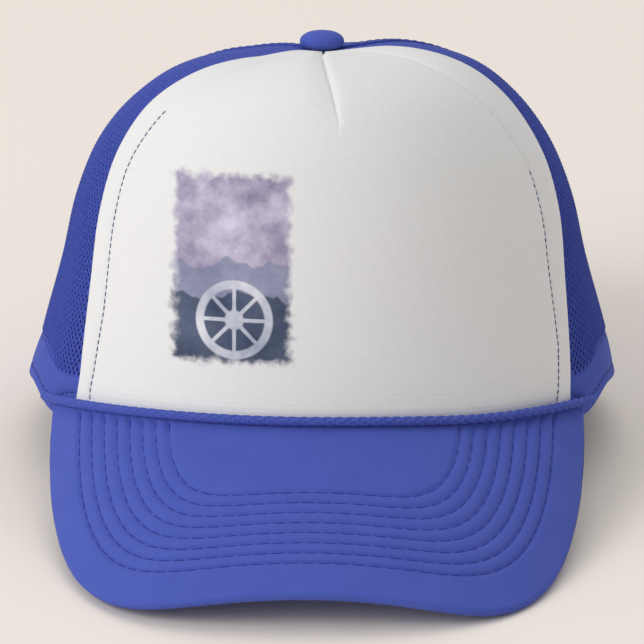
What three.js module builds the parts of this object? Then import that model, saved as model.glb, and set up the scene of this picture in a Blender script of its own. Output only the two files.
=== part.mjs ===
import * as THREE from "three";

// A trucker cap: a white foam front panel, four net panels, a covered button, a curved visor with a braid
// along its root, bound lower edges, a sweatband, and a strap across the arch at the back.
// Lengths are millimetres and angles degrees. The cap is first built upright, with its rim near z = 0 and
// its face towards -Y, and then leans back until the visor's corners and the strap rest on the floor.
// Azimuth is 0 at the face, grows towards +X, and is 180 at the back. Climb is 0 at the rim and 1 at the top.

// Crown
const crownHalfWidth = 94.3;
const crownHalfDepth = 96.5;
const crownHeight = 105.5;
const crownLean = 0.7;
const topHoleRadius = 3;
const netThickness = 1.6;
const foamProud = 1;
const seamGap = 0.3;
const backSeamAzimuth = 118;
const sideColumns = 14;
const backColumns = 9;

// Azimuths of the front panel's side seams at the rim, at half the climb and at the top
const frontSeamLeft = { rim: 53, middle: 57.5, top: 49 };
const frontSeamRight = { rim: 56.5, middle: 68.5, top: 64 };

// Dart sewn into the top of the front panel
const dartFootAzimuth = 5.5;
const dartFootClimb = 0.56;
const dartTopClimb = 0.88;
const dartDepth = 1.6;
const dartLip = 0.5;
const dartHollowAzimuth = 9;

// Visor
const visorLength = 66.2;
const visorThickness = 3.2;
const visorSlope = 35.7;
const visorEndAzimuth = 60.9;
const visorTip = 4;
const visorEndDroop = 2.1;
const braidHeight = 0.6;
const rootDip = { azimuth: 33, reach: 17, depth: 1.2 };
const visorSideSquareness = 6;
const visorFrontRoundness = 1.95;
const visorRootEasing = 12;
const rimRiseAzimuth = 15;

// Braid, bindings, sweatband, strap and button
const braidDiameter = 2.8;
const braidOverhangAzimuth = 2.1;
const bindingHeight = 12;
const bindingProud = 0.5;
const archHalfWidth = 37;
const archHeight = 42;
const archBindingWidth = 9;
const sweatbandHeight = 28;
const sweatbandThickness = 1.5;
const strapHeight = 19;
const strapThickness = 1.8;
const buttonDiameter = 14.6;
const buttonHeight = 6.6;

const white = { color: "#ececec", roughness: 0.95, metalness: 0 };
const blue = { color: "#4252b0", roughness: 0.9, metalness: 0 };
const bluePlastic = { color: "#3c4cab", roughness: 0.45, metalness: 0 };

// Rows run from the rim to the top. A rise is a share of the crown's height, and a spread a share of its
// half width at the side or of its half depth at the front and back.
const crownProfile = [
  { frontRise: 0.0, frontSpread: 1.0, sideRise: 0.0, sideSpread: 1.0, backRise: 0.0, backSpread: 1.0 },
  { frontRise: 0.19, frontSpread: 0.99, sideRise: 0.17, sideSpread: 0.95, backRise: 0.16, backSpread: 0.985 },
  { frontRise: 0.4, frontSpread: 0.965, sideRise: 0.36, sideSpread: 0.89, backRise: 0.33, backSpread: 0.955 },
  { frontRise: 0.6, frontSpread: 0.92, sideRise: 0.55, sideSpread: 0.84, backRise: 0.5, backSpread: 0.9 },
  { frontRise: 0.77, frontSpread: 0.85, sideRise: 0.72, sideSpread: 0.76, backRise: 0.66, backSpread: 0.81 },
  { frontRise: 0.9, frontSpread: 0.73, sideRise: 0.86, sideSpread: 0.64, backRise: 0.8, backSpread: 0.68 },
  { frontRise: 0.966, frontSpread: 0.54, sideRise: 0.955, sideSpread: 0.49, backRise: 0.92, backSpread: 0.5 },
  { frontRise: 0.987, frontSpread: 0.28, sideRise: 1.0, sideSpread: 0.27, backRise: 0.98, backSpread: 0.27 },
  { frontRise: 0.976, frontSpread: 0.0, sideRise: 0.976, sideSpread: 0.0, backRise: 0.976, backSpread: 0.0 },
];

const { clamp, degToRad, lerp, smoothstep } = THREE.MathUtils;
const up = new THREE.Vector3(0, 0, 1);
const visorWay = new THREE.Vector3(0, -Math.cos(degToRad(visorSlope)), -Math.sin(degToRad(visorSlope)));

function profileCurve(spread, rise) {
  const points = crownProfile.map((row) => new THREE.Vector3(row[spread], 0, row[rise]));
  return new THREE.CatmullRomCurve3(points, false, "catmullrom");
}
const frontCurve = profileCurve("frontSpread", "frontRise");
const sideCurve = profileCurve("sideSpread", "sideRise");
const backCurve = profileCurve("backSpread", "backRise");

// The share of the spread and of the rise at a place on the crown: the side's profile, turning smoothly
// into the front's or the back's.
function crownShares(azimuth, climb) {
  const ahead = Math.cos(degToRad(azimuth));
  const end = ahead > 0 ? frontCurve : backCurve;
  return sideCurve.getPoint(climb).lerp(end.getPoint(climb), ahead * ahead);
}

// The height that the braid's middle keeps round the visor's root.
function braidLine(azimuth) {
  const droop = visorEndDroop * (Math.sin(degToRad(azimuth)) / Math.sin(degToRad(visorEndAzimuth))) ** 4;
  const dip = rootDip.depth * Math.exp(-(((azimuth - rootDip.azimuth) / rootDip.reach) ** 2));
  return braidHeight - droop - dip;
}

// The braid lies in the corner between the crown and the visor, a seam's gap clear of both.
const braidRadius = braidDiameter / 2;
const braidAboveRoot = (braidRadius * (1 + visorWay.z) + seamGap) / -visorWay.y;
const visorRootDepth = visorThickness / -visorWay.y;

// The height of the crown's lower edge, which is lower where the visor is sewn on.
function rimFoot(azimuth) {
  const beyond = Math.abs(azimuth) - visorEndAzimuth;
  const share = 1 - smoothstep(beyond, 0, rimRiseAzimuth);
  const held = clamp(azimuth, -visorEndAzimuth, visorEndAzimuth);
  return share * (braidLine(held) - braidAboveRoot - visorRootDepth);
}

function crownPoint(azimuth, climb) {
  const shares = crownShares(azimuth, climb);
  const angle = degToRad(azimuth);
  return new THREE.Vector3(
    crownHalfWidth * Math.sin(angle) * shares.x + crownLean * smoothstep(climb, 0, 0.1),
    -crownHalfDepth * Math.cos(angle) * shares.x,
    lerp(rimFoot(azimuth), crownHeight, shares.z),
  );
}

// A point that lies out from the crown's surface by a distance, along the surface's normal.
function crownSkin(azimuth, climb, out) {
  const step = 0.002;
  const around = crownPoint(azimuth + 1, climb).sub(crownPoint(azimuth - 1, climb));
  const above = crownPoint(azimuth, Math.min(climb + step, 1));
  const below = crownPoint(azimuth, Math.max(climb - step, 0));
  const normal = around.cross(above.sub(below)).normalize();
  return crownPoint(azimuth, climb).addScaledVector(normal, out);
}

// The climb at which the crown is a given height above z = 0.
function climbAt(azimuth, height) {
  let low = 0;
  let high = 1;
  for (let i = 0; i < 30; i++) {
    const middle = (low + high) / 2;
    if (crownPoint(azimuth, middle).z < height) low = middle;
    else high = middle;
  }
  return (low + high) / 2;
}

// Turns a distance round the crown into degrees, at a climb.
function azimuthOf(distance, climb) {
  const radius = Math.max(sideCurve.getPoint(climb).x, 0.01) * crownHalfWidth;
  return THREE.MathUtils.radToDeg(distance / radius);
}

// The climb where the panels end, round the hole under the button.
const topClimb = (() => {
  let climb = 1;
  while (sideCurve.getPoint(climb).x * crownHalfWidth < topHoleRadius) climb -= 0.001;
  return climb;
})();

function frontSeam(side, climb) {
  const seam = side < 0 ? frontSeamLeft : frontSeamRight;
  const lower = lerp(seam.rim, seam.middle, smoothstep(climb, 0, 0.5));
  return side * lerp(lower, seam.top, smoothstep(climb, 0.6, 0.9));
}

function dartAzimuth(climb) {
  const share = clamp((dartTopClimb - climb) / (dartTopClimb - dartFootClimb), 0, 1);
  const low = clamp(climb / dartFootClimb, 0, 1);
  return dartFootAzimuth * share * low;
}

// How far the front panel's surface is pushed out or in by the dart: a soft hollow that ends in a sharp
// crease, with a low lip on the far side of the crease.
function dartRelief(azimuth, climb) {
  const fromCrease = azimuth - dartAzimuth(climb);
  const along = smoothstep(climb, dartFootClimb, lerp(dartFootClimb, dartTopClimb, 0.4));
  const reach = 1 - clamp(Math.abs(fromCrease) / dartHollowAzimuth, 0, 1);
  return along * reach ** 2 * (fromCrease <= 0 ? -dartDepth : dartLip * Math.sign(fromCrease));
}

// A closed body between two sheets of (columns + 1) by (rows + 1) points. pointAt takes the shares across
// and up, and true for the sheet on the side that across x up points to.
function shellGeometry(columns, rows, pointAt) {
  const sheetSize = (columns + 1) * (rows + 1);
  const positions = [];
  for (const outer of [true, false])
    for (let i = 0; i <= columns; i++)
      for (let j = 0; j <= rows; j++) positions.push(...pointAt(i / columns, j / rows, outer));
  const index = (i, j, outer) => i * (rows + 1) + j + (outer ? 0 : sheetSize);
  const faces = [];
  const quad = (a, b, c, d) => faces.push(a, b, c, a, c, d);
  for (let i = 0; i < columns; i++)
    for (let j = 0; j < rows; j++) {
      quad(index(i, j, true), index(i + 1, j, true), index(i + 1, j + 1, true), index(i, j + 1, true));
      quad(index(i, j, false), index(i, j + 1, false), index(i + 1, j + 1, false), index(i + 1, j, false));
    }
  for (let i = 0; i < columns; i++) {
    quad(index(i, 0, false), index(i + 1, 0, false), index(i + 1, 0, true), index(i, 0, true));
    quad(index(i, rows, true), index(i + 1, rows, true), index(i + 1, rows, false), index(i, rows, false));
  }
  for (let j = 0; j < rows; j++) {
    quad(index(0, j, false), index(0, j, true), index(0, j + 1, true), index(0, j + 1, false));
    quad(index(columns, j, true), index(columns, j, false), index(columns, j + 1, false), index(columns, j + 1, true));
  }
  const geometry = new THREE.BufferGeometry();
  geometry.setAttribute("position", new THREE.Float32BufferAttribute(positions, 3));
  geometry.setIndex(faces);
  geometry.computeVertexNormals();
  return geometry;
}

const cap = new THREE.Group();
const upright = new THREE.Group();
cap.add(upright);

function addPiece(name, geometry, finish) {
  const mesh = new THREE.Mesh(geometry, new THREE.MeshStandardMaterial(finish));
  mesh.name = name;
  upright.add(mesh);
  return mesh;
}

// Front panel: its columns fan out from the dart to both side seams.
const frontGeometry = shellGeometry(32, 20, (across, above, outer) => {
  const climb = above * topClimb;
  const halfGap = azimuthOf(seamGap / 2, climb);
  const dart = dartAzimuth(climb);
  const azimuth =
    across < 0.5
      ? lerp(frontSeam(-1, climb) + halfGap, dart, (across * 2) ** 0.8)
      : lerp(frontSeam(1, climb) - halfGap, dart, (2 - across * 2) ** 0.8);
  const proud = foamProud * (1 - smoothstep(climb, 0.75, 0.95));
  return crownSkin(azimuth, climb, dartRelief(azimuth, climb) + (outer ? proud : -netThickness));
});
addPiece("front_panel", frontGeometry, white);

// The arch at the back, cut clear of the strap. Distances are from the middle of the back.
function archDistanceAt(height, grown) {
  const share = clamp(height / (archHeight + grown), 0, 1);
  return (archHalfWidth + grown) * Math.sqrt(1 - share * share);
}
const backAzimuth = (distance) => 180 - THREE.MathUtils.radToDeg(distance / crownHalfDepth);

// Finds the azimuth and climb of a place that depend on each other, from a first azimuth.
function settle(azimuth, azimuthAt, footAt, above) {
  let climb = 0;
  for (let i = 0; i < 4; i++) {
    climb = lerp(climbAt(azimuth, footAt(azimuth)), topClimb, above);
    azimuth = azimuthAt(climb);
  }
  return [azimuth, climb];
}

const aboveBinding = (azimuth) => rimFoot(azimuth) + bindingHeight + seamGap;

// Side panels run from the front seam to the back seam.
function sidePanelGeometry(side) {
  return shellGeometry(sideColumns, 17, (across, above, outer) => {
    const share = side > 0 ? across : 1 - across;
    const azimuthAt = (climb) => {
      const halfGap = azimuthOf(seamGap / 2, climb);
      const first = Math.abs(frontSeam(side, climb)) + halfGap;
      return side * lerp(first, backSeamAzimuth - halfGap, share);
    };
    const [azimuth, climb] = settle(azimuthAt(0), azimuthAt, aboveBinding, above);
    return crownSkin(azimuth, climb, outer ? 0 : -netThickness);
  });
}

// Back panels run from the back seam to the middle, and end low down at the arch's binding. The first half
// of their columns stands on the rim's binding, and the second half on the arch's.
function backPanelGeometry(side) {
  const grown = archBindingWidth + seamGap;
  const foot = bindingHeight + seamGap;
  const corner = archDistanceAt(foot, grown);
  return shellGeometry(backColumns * 2, 17, (across, above, outer) => {
    const share = side > 0 ? across : 1 - across;
    const round = Math.asin(foot / (archHeight + grown));
    const angle = lerp(round, Math.PI / 2, clamp(share * 2 - 1, 0, 1));
    const distance = (archHalfWidth + grown) * Math.cos(angle);
    const lift = share < 0.5 ? foot : (archHeight + grown) * Math.sin(angle);
    const plain =
      share < 0.5 ? lerp(backSeamAzimuth, backAzimuth(corner), share * 2) : backAzimuth(distance);
    const azimuthAt = (climb) => {
      const halfGap = azimuthOf(seamGap / 2, climb);
      const turn = (plain - backSeamAzimuth) / (180 - backSeamAzimuth);
      return side * lerp(backSeamAzimuth + halfGap, 180 - halfGap, turn);
    };
    const [azimuth, climb] = settle(azimuthAt(0), azimuthAt, () => lift, above);
    return crownSkin(azimuth, climb, outer ? 0 : -netThickness);
  });
}

// The binding of the lower edge, from the front panel to the arch's binding. Its columns line up with those
// of the panels that stand on it.
function rimBindingGeometry(side) {
  const grown = archBindingWidth + seamGap;
  return shellGeometry(sideColumns + backColumns, 2, (across, above, outer) => {
    const column = (side > 0 ? across : 1 - across) * (sideColumns + backColumns);
    const tall = above * bindingHeight;
    const last = backAzimuth(archDistanceAt(tall, grown));
    let azimuth = frontSeam(side, 0);
    let climb = 0;
    for (let i = 0; i < 4; i++) {
      climb = climbAt(azimuth, rimFoot(azimuth) + tall);
      const first = Math.abs(frontSeam(side, climb)) + azimuthOf(seamGap / 2, climb);
      azimuth =
        side *
        (column < sideColumns
          ? lerp(first, backSeamAzimuth, column / sideColumns)
          : lerp(backSeamAzimuth, last, column / backColumns - sideColumns / backColumns));
    }
    return crownSkin(azimuth, climb, outer ? bindingProud : -netThickness);
  });
}

for (const [side, word] of [
  [-1, "left"],
  [1, "right"],
]) {
  addPiece("side_panel_" + word, sidePanelGeometry(side), blue);
  addPiece("back_panel_" + word, backPanelGeometry(side), blue);
  addPiece("rim_binding_" + word, rimBindingGeometry(side), blue);
}

// The arch's binding goes up one side of the opening and down the other.
const archBindingGeometry = shellGeometry(24, 1, (across, above, outer) => {
  const angle = across * Math.PI;
  const grown = archBindingWidth * above;
  const azimuth = backAzimuth((archHalfWidth + grown) * Math.cos(angle));
  const climb = climbAt(azimuth, (archHeight + grown) * Math.sin(angle));
  return crownSkin(azimuth, climb, outer ? bindingProud : -netThickness);
});
addPiece("arch_binding", archBindingGeometry, blue);

// Visor: straight rulings that run forwards and down from its root on the crown.
function visorRoot(azimuth) {
  const root = crownSkin(azimuth, 0, foamProud + seamGap);
  root.z = braidLine(azimuth) - braidAboveRoot;
  return root;
}
const visorEndWay = visorRoot(visorEndAzimuth).dot(visorWay) + visorTip;
const visorFrontWay = visorRoot(0).dot(visorWay) + visorLength;

// The visor's upper or lower surface, at shares from end to end and from root to edge.
function visorPoint(across, ahead, upper) {
  const sideShare = Math.sin((across - 0.5) * Math.PI);
  const azimuth = THREE.MathUtils.radToDeg(Math.asin(sideShare * Math.sin(degToRad(visorEndAzimuth))));
  const root = visorRoot(azimuth);
  const bow = Math.max(1 - Math.abs(sideShare) ** visorSideSquareness, 0) ** (1 / visorFrontRoundness);
  const reach = (lerp(visorEndWay, visorFrontWay, bow) - root.dot(visorWay)) * ahead;
  const point = root.clone().addScaledVector(visorWay, reach);
  if (upper) return point;
  const along = visorRoot(azimuth + 1).sub(visorRoot(azimuth - 1));
  const below = along.cross(visorWay).setLength(visorThickness);
  const straightDown = new THREE.Vector3(0, 0, -visorRootDepth);
  return point.add(straightDown.lerp(below, smoothstep(reach, 0, visorRootEasing)));
}
const visorGeometry = shellGeometry(44, 4, (across, ahead, lower) => visorPoint(across, ahead, !lower));
addPiece("visor", visorGeometry, blue);

// Braid along the visor's root
const braidEnd = visorEndAzimuth + braidOverhangAzimuth;
const braidPoints = Array.from({ length: 33 }, (_, i) => {
  const azimuth = lerp(-braidEnd, braidEnd, i / 32);
  const point = crownSkin(azimuth, 0, foamProud + seamGap + braidRadius);
  point.z = braidLine(azimuth);
  return point;
});
const braidSection = new THREE.Shape(
  Array.from({ length: 8 }, (_, i) =>
    new THREE.Vector2(braidRadius, 0).rotateAround(new THREE.Vector2(), ((i + 0.5) * Math.PI) / 4),
  ),
);
const braidGeometry = new THREE.ExtrudeGeometry(braidSection, {
  steps: 64,
  extrudePath: new THREE.CatmullRomCurve3(braidPoints),
});
addPiece("braid", braidGeometry, blue);

// The strap's ends lie behind the arch's binding, and the sweatband begins where they end.
const strapHalfLength = archHalfWidth + archBindingWidth;
const strapFace = -netThickness - seamGap;

// Sweatband inside the lower edge
const sweatbandEnd = backAzimuth(strapHalfLength + seamGap * 2);
const sweatbandGeometry = shellGeometry(64, 2, (across, above, outer) => {
  const azimuth = lerp(-sweatbandEnd, sweatbandEnd, across);
  const climb = climbAt(azimuth, rimFoot(azimuth) + above * sweatbandHeight);
  return crownSkin(azimuth, climb, outer ? strapFace : strapFace - sweatbandThickness);
});
addPiece("sweatband", sweatbandGeometry, blue);

// How far the cap leans back: until the lowest point of the visor's edge is level with the strap's foot.
const strapFoot = crownSkin(180, 0, strapFace);
const restTilt = Math.max(
  ...Array.from({ length: 200 }, (_, i) => {
    const edge = visorPoint(i / 199, 1, false);
    return Math.atan2(strapFoot.z - edge.z, strapFoot.y - edge.y);
  }),
);

// Strap, whose lower edge is level on the floor
const strapGeometry = shellGeometry(20, 1, (across, above, outer) => {
  const distance = lerp(strapHalfLength, -strapHalfLength, across);
  const azimuth = backAzimuth(distance);
  const climb = climbAt(azimuth, above * strapHeight);
  const point = crownSkin(azimuth, climb, outer ? strapFace : strapFace - strapThickness);
  if (above === 0) point.z = strapFoot.z - (strapFoot.y - point.y) * Math.tan(restTilt);
  return point;
});
addPiece("back_strap", strapGeometry, bluePlastic);

// Button: a low dome over the hole where the panels meet
const buttonProfile = [new THREE.Vector2(0, 0), new THREE.Vector2(buttonDiameter / 2 - 0.8, 0)];
for (let i = 0; i <= 5; i++) {
  const angle = (i / 5) * (Math.PI / 2);
  const radius = (buttonDiameter / 2) * Math.cos(angle) ** 0.8;
  buttonProfile.push(new THREE.Vector2(i === 5 ? 0 : radius, lerp(1, buttonHeight, Math.sin(angle))));
}
const buttonGeometry = new THREE.LatheGeometry(buttonProfile, 20);
const button = addPiece("button", buttonGeometry, blue);
button.quaternion.setFromUnitVectors(new THREE.Vector3(0, 1, 0), up);
const buttonSeat = [0, 90, 180, 270].map((azimuth) => {
  let climb = 1;
  while (crownPoint(azimuth, climb).setZ(0).length() < buttonDiameter / 2) climb -= 0.001;
  return crownPoint(azimuth, climb).z;
});
button.position.set(0, 0, Math.max(...buttonSeat) + seamGap);

// Lean back, and stand the cap on z = 0 with the middle of its box over the origin.
upright.rotation.x = -restTilt;
cap.updateMatrixWorld(true);
const box = new THREE.Box3().setFromObject(cap, true);
const middle = box.getCenter(new THREE.Vector3());
upright.position.set(-middle.x, -middle.y, -box.min.z);

export default cap;
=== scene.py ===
import math
import bmesh
import bpy
import numpy as np
from mathutils import Matrix, Vector


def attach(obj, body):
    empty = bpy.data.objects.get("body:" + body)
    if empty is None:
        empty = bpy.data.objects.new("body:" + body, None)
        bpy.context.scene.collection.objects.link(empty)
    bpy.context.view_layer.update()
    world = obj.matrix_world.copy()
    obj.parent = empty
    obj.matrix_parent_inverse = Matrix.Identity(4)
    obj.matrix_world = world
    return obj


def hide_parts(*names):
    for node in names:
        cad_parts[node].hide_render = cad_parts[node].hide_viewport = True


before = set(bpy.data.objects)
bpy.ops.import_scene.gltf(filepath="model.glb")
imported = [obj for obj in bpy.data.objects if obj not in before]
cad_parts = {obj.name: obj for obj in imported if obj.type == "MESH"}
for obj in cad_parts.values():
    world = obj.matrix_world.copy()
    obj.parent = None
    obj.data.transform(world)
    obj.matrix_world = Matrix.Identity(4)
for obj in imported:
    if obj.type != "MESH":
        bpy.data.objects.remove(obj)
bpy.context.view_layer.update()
scene = bpy.context.scene
scene.view_settings.view_transform = "Standard"
print("frame loaded:", len(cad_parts), "nodes")

# The cap is worked out upright, in millimetres, with its rim near z = 0 and its face towards -Y, and then
# leans back to rest on the floor.
capTilt = math.radians(11.9281)
capOrigin = (0.02, 29.384, 19.711)

crown = {
    "halfWidth": 94.3,
    "halfDepth": 96.5,
    "height": 105.5,
    "lean": 0.7,
    "topHole": 3.0,
    "clothLength": 152.0,
    "foamProud": 1.0,
    "gap": 0.3,
    "backSeam": 118.0,
    "visorEnd": 60.9,
    "rimRise": 15.0,
    "endDroop": 2.1,
    "braidHeight": 0.6,
    "dipAzimuth": 33.0,
    "dipReach": 17.0,
    "dipDepth": 1.2,
    "braidRadius": 1.4,
    "slope": math.radians(35.7),
    "visorThickness": 3.2,
    "shoulderDrop": 0.022,
}

# Rise and spread at the front, the side and the back, from the rim to the top
crownProfile = np.array([
    (0.0, 1.0, 0.0, 1.0, 0.0, 1.0),
    (0.19, 0.99, 0.17, 0.95, 0.16, 0.985),
    (0.4, 0.965, 0.36, 0.89, 0.33, 0.955),
    (0.6, 0.92, 0.55, 0.84, 0.5, 0.9),
    (0.77, 0.85, 0.72, 0.76, 0.66, 0.81),
    (0.9, 0.73, 0.86, 0.64, 0.8, 0.68),
    (0.966, 0.54, 0.955, 0.49, 0.92, 0.5),
    (0.987, 0.28, 1.0, 0.27, 0.98, 0.27),
    (0.976, 0.0, 0.976, 0.0, 0.976, 0.0),
])


def smoothStep(x, low, high):
    t = np.clip((x - low) / (high - low), 0, 1)
    return t * t * (3 - 2 * t)


def mix(a, b, t):
    return a + (b - a) * t


def unit(vectors):
    return vectors / np.linalg.norm(vectors, axis=-1, keepdims=True)


def lengthAlong(points):
    return np.concatenate([[0], np.cumsum(np.linalg.norm(np.diff(points, axis=0), axis=1))])


def profileAt(column, climb):
    # a smooth curve through one column of the profile
    values = crownProfile[:, column]
    last = len(values) - 1
    place = np.clip(climb, 0, 1) * last
    i = np.minimum(place.astype(int), last - 1)
    t = place - i
    row = np.concatenate([[2 * values[0] - values[1]], values, [2 * values[-1] - values[-2]]])
    a, b, c, d = row[i], row[i + 1], row[i + 2], row[i + 3]
    start, end = (c - a) / 2, (d - b) / 2
    return b + start * t + (3 * (c - b) - 2 * start - end) * t**2 + (2 * (b - c) + start + end) * t**3


def braidLine(azimuth):
    # the braid's height round the front: it droops at both ends and dips a little at one side
    droop = crown["endDroop"] * (np.sin(np.radians(azimuth)) / math.sin(math.radians(crown["visorEnd"]))) ** 4
    dip = crown["dipDepth"] * np.exp(-(((azimuth - crown["dipAzimuth"]) / crown["dipReach"]) ** 2))
    return crown["braidHeight"] - droop - dip


braidAboveRoot = (crown["braidRadius"] * (1 - math.sin(crown["slope"])) + crown["gap"]) / math.cos(crown["slope"])
visorRootDepth = crown["visorThickness"] / math.cos(crown["slope"])


def rimFoot(azimuth):
    share = 1 - smoothStep(np.abs(azimuth) - crown["visorEnd"], 0, crown["rimRise"])
    held = np.clip(azimuth, -crown["visorEnd"], crown["visorEnd"])
    return share * (braidLine(held) - braidAboveRoot - visorRootDepth)


def crownPoint(azimuth, climb):
    azimuth, climb = np.broadcast_arrays(np.asarray(azimuth, float), np.asarray(climb, float))
    angle = np.radians(azimuth)
    ahead = np.cos(angle)
    share = ahead**2
    rise = mix(profileAt(2, climb), np.where(ahead > 0, profileAt(0, climb), profileAt(4, climb)), share)
    spread = mix(profileAt(3, climb), np.where(ahead > 0, profileAt(1, climb), profileAt(5, climb)), share)
    # the left shoulder sits a little lower than the right one
    slump = smoothStep(climb, 0.45, 0.72) * (1 - smoothStep(climb, 0.86, 0.96))
    rise = rise - crown["shoulderDrop"] * slump * smoothStep(-np.sin(angle), 0.0, 0.7)
    x = crown["halfWidth"] * np.sin(angle) * spread + crown["lean"] * smoothStep(climb, 0, 0.1)
    y = -crown["halfDepth"] * ahead * spread
    return np.stack([x, y, mix(rimFoot(azimuth), crown["height"], rise)], -1)


def crownSkin(azimuth, climb, out):
    # a place on the crown, moved outward by some millimetres
    azimuth, climb = np.broadcast_arrays(np.asarray(azimuth, float), np.asarray(climb, float))
    around = crownPoint(azimuth + 1, climb) - crownPoint(azimuth - 1, climb)
    upward = crownPoint(azimuth, np.minimum(climb + 0.002, 1)) - crownPoint(azimuth, np.maximum(climb - 0.002, 0))
    normal = unit(np.cross(around, upward))
    return crownPoint(azimuth, climb) + normal * np.asarray(out, float)[..., None]


def climbAt(azimuth, height):
    azimuth, height = np.broadcast_arrays(np.asarray(azimuth, float), np.asarray(height, float))
    low, high = np.zeros(azimuth.shape), np.ones(azimuth.shape)
    for _ in range(24):
        middle = (low + high) / 2
        under = crownPoint(azimuth, middle)[..., 2] < height
        low, high = np.where(under, middle, low), np.where(under, high, middle)
    return (low + high) / 2


def radiusAt(climb):
    return np.maximum(profileAt(3, np.asarray(climb, float)), 0.01) * crown["halfWidth"]


visorWay = np.array([0, -math.cos(crown["slope"]), -math.sin(crown["slope"])])


def visorRoot(azimuth):
    root = crownSkin(azimuth, 0, crown["foamProud"] + crown["gap"])
    root[..., 2] = braidLine(azimuth) - braidAboveRoot
    return root


def visorAcross(x):
    # the azimuth on the root that lies at a distance across the visor
    azimuths = np.linspace(-75, 75, 301)
    return np.interp(x, visorRoot(azimuths)[:, 0], azimuths)


def visorOn(azimuth, way):
    # a place on the visor's face, some way ahead of the root's middle
    root = visorRoot(azimuth)
    reach = way + visorRoot(0.0) @ visorWay - root @ visorWay
    return root + reach[..., None] * visorWay


def visorNormal(azimuth):
    along = visorRoot(azimuth + 1) - visorRoot(azimuth - 1)
    return unit(np.cross(visorWay, along))


def rootWay(x):
    return visorRoot(visorAcross(x)) @ visorWay - visorRoot(0.0) @ visorWay


def toFrame(points):
    # lean back, move to rest on the floor, and turn millimetres to metres
    x, y, z = np.moveaxis(np.asarray(points, float), -1, 0)
    c, s = math.cos(capTilt), math.sin(capTilt)
    return (np.stack([x, c * y + s * z, c * z - s * y], -1) + capOrigin) / 1000


# Colours and materials

def linear(hexColour):
    parts = [int(hexColour[i:i + 2], 16) / 255 for i in (1, 3, 5)]
    return tuple(v / 12.92 if v <= 0.04045 else ((v + 0.055) / 1.055) ** 2.4 for v in parts) + (1.0,)


def addNode(tree, kind, settings={}, inputs={}):
    node = tree.nodes.new("ShaderNode" + kind)
    for name, value in settings.items():
        setattr(node, name, value)
    for name, value in inputs.items():
        if isinstance(value, bpy.types.NodeSocket):
            tree.links.new(value, node.inputs[name])
        else:
            node.inputs[name].default_value = value
    return node


def newMaterial(name, roughness, sheen, specular):
    material = bpy.data.materials.new(name)
    material.use_nodes = True
    shader = material.node_tree.nodes["Principled BSDF"]
    shader.inputs["Roughness"].default_value = roughness
    shader.inputs["Sheen Weight"].default_value = sheen
    shader.inputs["Sheen Roughness"].default_value = 0.5
    shader.inputs["Specular IOR Level"].default_value = specular
    return material, material.node_tree, shader


def threadScale(mm):
    # a wave texture repeats every 0.314 / scale
    return 314.16 / mm


def wovenCloth(name, look):
    # two sets of threads at right angles, with slubs and a faint unevenness in the dye
    material, tree, shader = newMaterial(name, look["roughness"], look["sheen"], look["specular"])
    uv = addNode(tree, "UVMap", {"uv_map": "cloth"}).outputs[0]
    slubs = addNode(tree, "TexNoise", {}, {"Vector": uv, "Scale": 1000 / look["slub"], "Detail": 2.0}).outputs[0]
    bend = addNode(tree, "MapRange", {}, {"Value": slubs, "To Min": -0.0002, "To Max": 0.0002}).outputs[0]
    wavy = addNode(tree, "VectorMath", {"operation": "ADD"}, {0: uv, 1: bend}).outputs[0]
    warp = addNode(tree, "TexWave", {"bands_direction": "X"}, {
        "Vector": wavy, "Scale": threadScale(look["warp"])}).outputs[1]
    weft = addNode(tree, "TexWave", {"bands_direction": "Y"}, {
        "Vector": wavy, "Scale": threadScale(look["weft"])}).outputs[1]
    weave = addNode(tree, "Math", {"operation": "MULTIPLY"}, {0: warp, 1: weft}).outputs[0]
    blotch = addNode(tree, "TexNoise", {}, {"Vector": uv, "Scale": 1000 / look["blotch"], "Detail": 4.0}).outputs[0]
    dye = addNode(tree, "MapRange", {}, {
        "Value": blotch, "From Min": 0.3, "From Max": 0.7, "To Min": 0.25, "To Max": 0.45}).outputs[0]
    # the weave paints each thread's crest lighter and the gaps between threads darker, a painted highlight and shade
    # whose strength is threadShade; the blotches added to it are the dye's own unevenness
    shadeAndDye = addNode(tree, "Math", {"operation": "MULTIPLY_ADD"}, {0: weave, 1: look["threadShade"], 2: dye}).outputs[0]
    colour = addNode(tree, "Mix", {"data_type": "RGBA"}, {
        0: shadeAndDye, 6: linear(look["dark"]), 7: linear(look["light"])}).outputs[2]
    height = addNode(tree, "Math", {"operation": "MULTIPLY_ADD"}, {0: slubs, 1: 0.6, 2: weave}).outputs[0]
    bump = addNode(tree, "Bump", {}, {"Height": height, "Strength": look["bump"], "Distance": look["depth"] / 1000})
    tree.links.new(colour, shader.inputs["Base Color"])
    tree.links.new(bump.outputs[0], shader.inputs["Normal"])
    return material


# Dyed cotton twill: a matt royal blue whose ribs catch a little light along their crests. Real threads lie
# about 0.4 mm apart, and are drawn twice as coarse so that they show.
visorTwill = wovenCloth("dyed cotton twill", {
    "dark": "#4152ac", "light": "#5465c0", "roughness": 0.9, "sheen": 0.06, "specular": 0.15, "warp": 0.8,
    "weft": 0.8, "slub": 2.5, "blotch": 14.0, "threadShade": 0.5, "bump": 0.35, "depth": 0.15})

# Polyester binding tape: the same blue, woven closer and a little smoother.
bindingTape = wovenCloth("woven polyester tape", {
    "dark": "#3e4fa9", "light": "#4c5db8", "roughness": 0.85, "sheen": 0.05, "specular": 0.15, "warp": 0.6,
    "weft": 0.9, "slub": 3.0, "blotch": 12.0, "threadShade": 0.4, "bump": 0.3, "depth": 0.12})

# Brushed cotton of the sweatband: darker, soft and without any shine.
sweatCotton = wovenCloth("brushed cotton sweatband", {
    "dark": "#323f8c", "light": "#4350a2", "roughness": 0.95, "sheen": 0.2, "specular": 0.1, "warp": 1.0,
    "weft": 1.0, "slub": 2.0, "blotch": 8.0, "threadShade": 0.5, "bump": 0.4, "depth": 0.2})
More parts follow.
